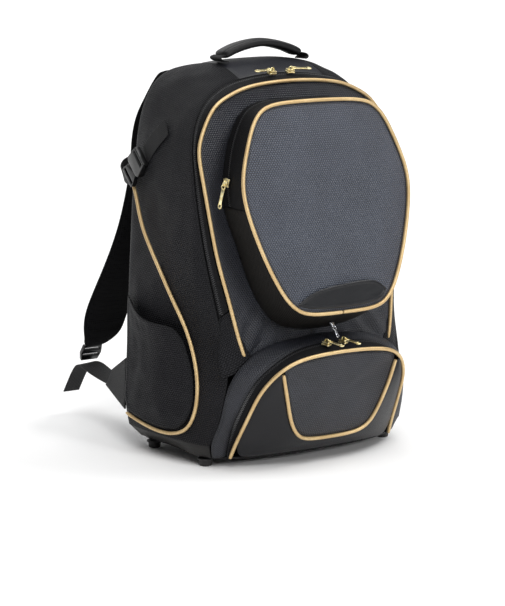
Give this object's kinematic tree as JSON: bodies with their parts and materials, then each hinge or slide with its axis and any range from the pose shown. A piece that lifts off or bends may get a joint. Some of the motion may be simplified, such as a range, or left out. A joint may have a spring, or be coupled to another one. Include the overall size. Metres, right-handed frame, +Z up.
{
  "type": "baseball bat backpack",
  "caption": "Upright sports backpack with a big domed front pocket, an arched lower pocket, side pockets, padded shoulder straps, a carrying handle and gold piping.",
  "frame": {"origin": "under the middle of the whole backpack, straps included, on the floor that its feet stand on", "axes": "+Z up, -Y to the front with the two big pockets, +Y to the back with the shoulder straps, X across the bag"},
  "size_m": [0.3616, 0.475, 0.53],
  "materials": {
    "dark_fabric": "textured woven polyester, navy black",
    "slate_fabric": "textured woven polyester with a soft grey sheen",
    "leatherette": "smooth dark coated cloth with a soft sheen",
    "zip_tape": "woven zip tape with a coil zip",
    "ribbed_gusset": "diagonally ribbed cloth",
    "gold_piping": "gold corded piping",
    "strap_padding": "padded air mesh with a bound edge",
    "webbing": "woven webbing, dark",
    "black_plastic": "moulded black plastic",
    "brass": "pale polished brass",
    "silver": "bright plated metal"
  },
  "bodies": {
    "root": {"side_panel_left": "dark_fabric", "side_panel_right": "dark_fabric", "top_panel": "leatherette", "boot_left": "leatherette", "boot_right": "leatherette", "back_panel": "dark_fabric", "front_panel": "slate_fabric", "main_zip_band": "zip_tape", "corner_panel_left": "dark_fabric", "corner_panel_right": "dark_fabric", "main_piping": "gold_piping", "lower_front_panel": "dark_fabric", "base_panel": "leatherette", "upper_pocket_front": "slate_fabric", "upper_pocket_zip_band": "zip_tape", "upper_pocket_gusset": "ribbed_gusset", "upper_pocket_piping": "gold_piping", "patch": "leatherette", "lower_pocket_centre": "slate_fabric", "lower_pocket_surround": "leatherette", "lower_pocket_gusset": "dark_fabric", "lower_pocket_zip_tape": "zip_tape", "lower_arch_piping": "gold_piping", "lower_u_piping": "gold_piping", "side_piping_left": "gold_piping", "side_pocket_left": "dark_fabric", "side_piping_right": "gold_piping", "side_pocket_right": "dark_fabric", "foot_front_left": "black_plastic", "foot_rear_left": "black_plastic", "foot_front_right": "black_plastic", "foot_rear_right": "black_plastic", "shoulder_pad_left": "strap_padding", "strap_webbing_left": "webbing", "strap_wing_left": "dark_fabric", "shoulder_pad_right": "strap_padding", "strap_webbing_right": "webbing", "strap_wing_right": "dark_fabric", "handle_grip": "leatherette", "handle_end_left": "webbing", "handle_end_right": "webbing", "compression_webbing_left": "webbing", "buckle_socket_left": "black_plastic", "buckle_plug_left": "black_plastic", "buckle_loop_left": "webbing", "ladder_lock_left": "black_plastic", "compression_webbing_right": "webbing", "buckle_socket_right": "black_plastic", "buckle_plug_right": "black_plastic", "buckle_loop_right": "webbing", "ladder_lock_right": "black_plastic", "main_slider_left": "brass", "main_slider_right": "brass", "upper_pocket_slider": "brass", "lower_pocket_slider_left": "brass", "lower_pocket_slider_right": "brass", "silver_pull": "silver"}
  },
  "joints": []
}
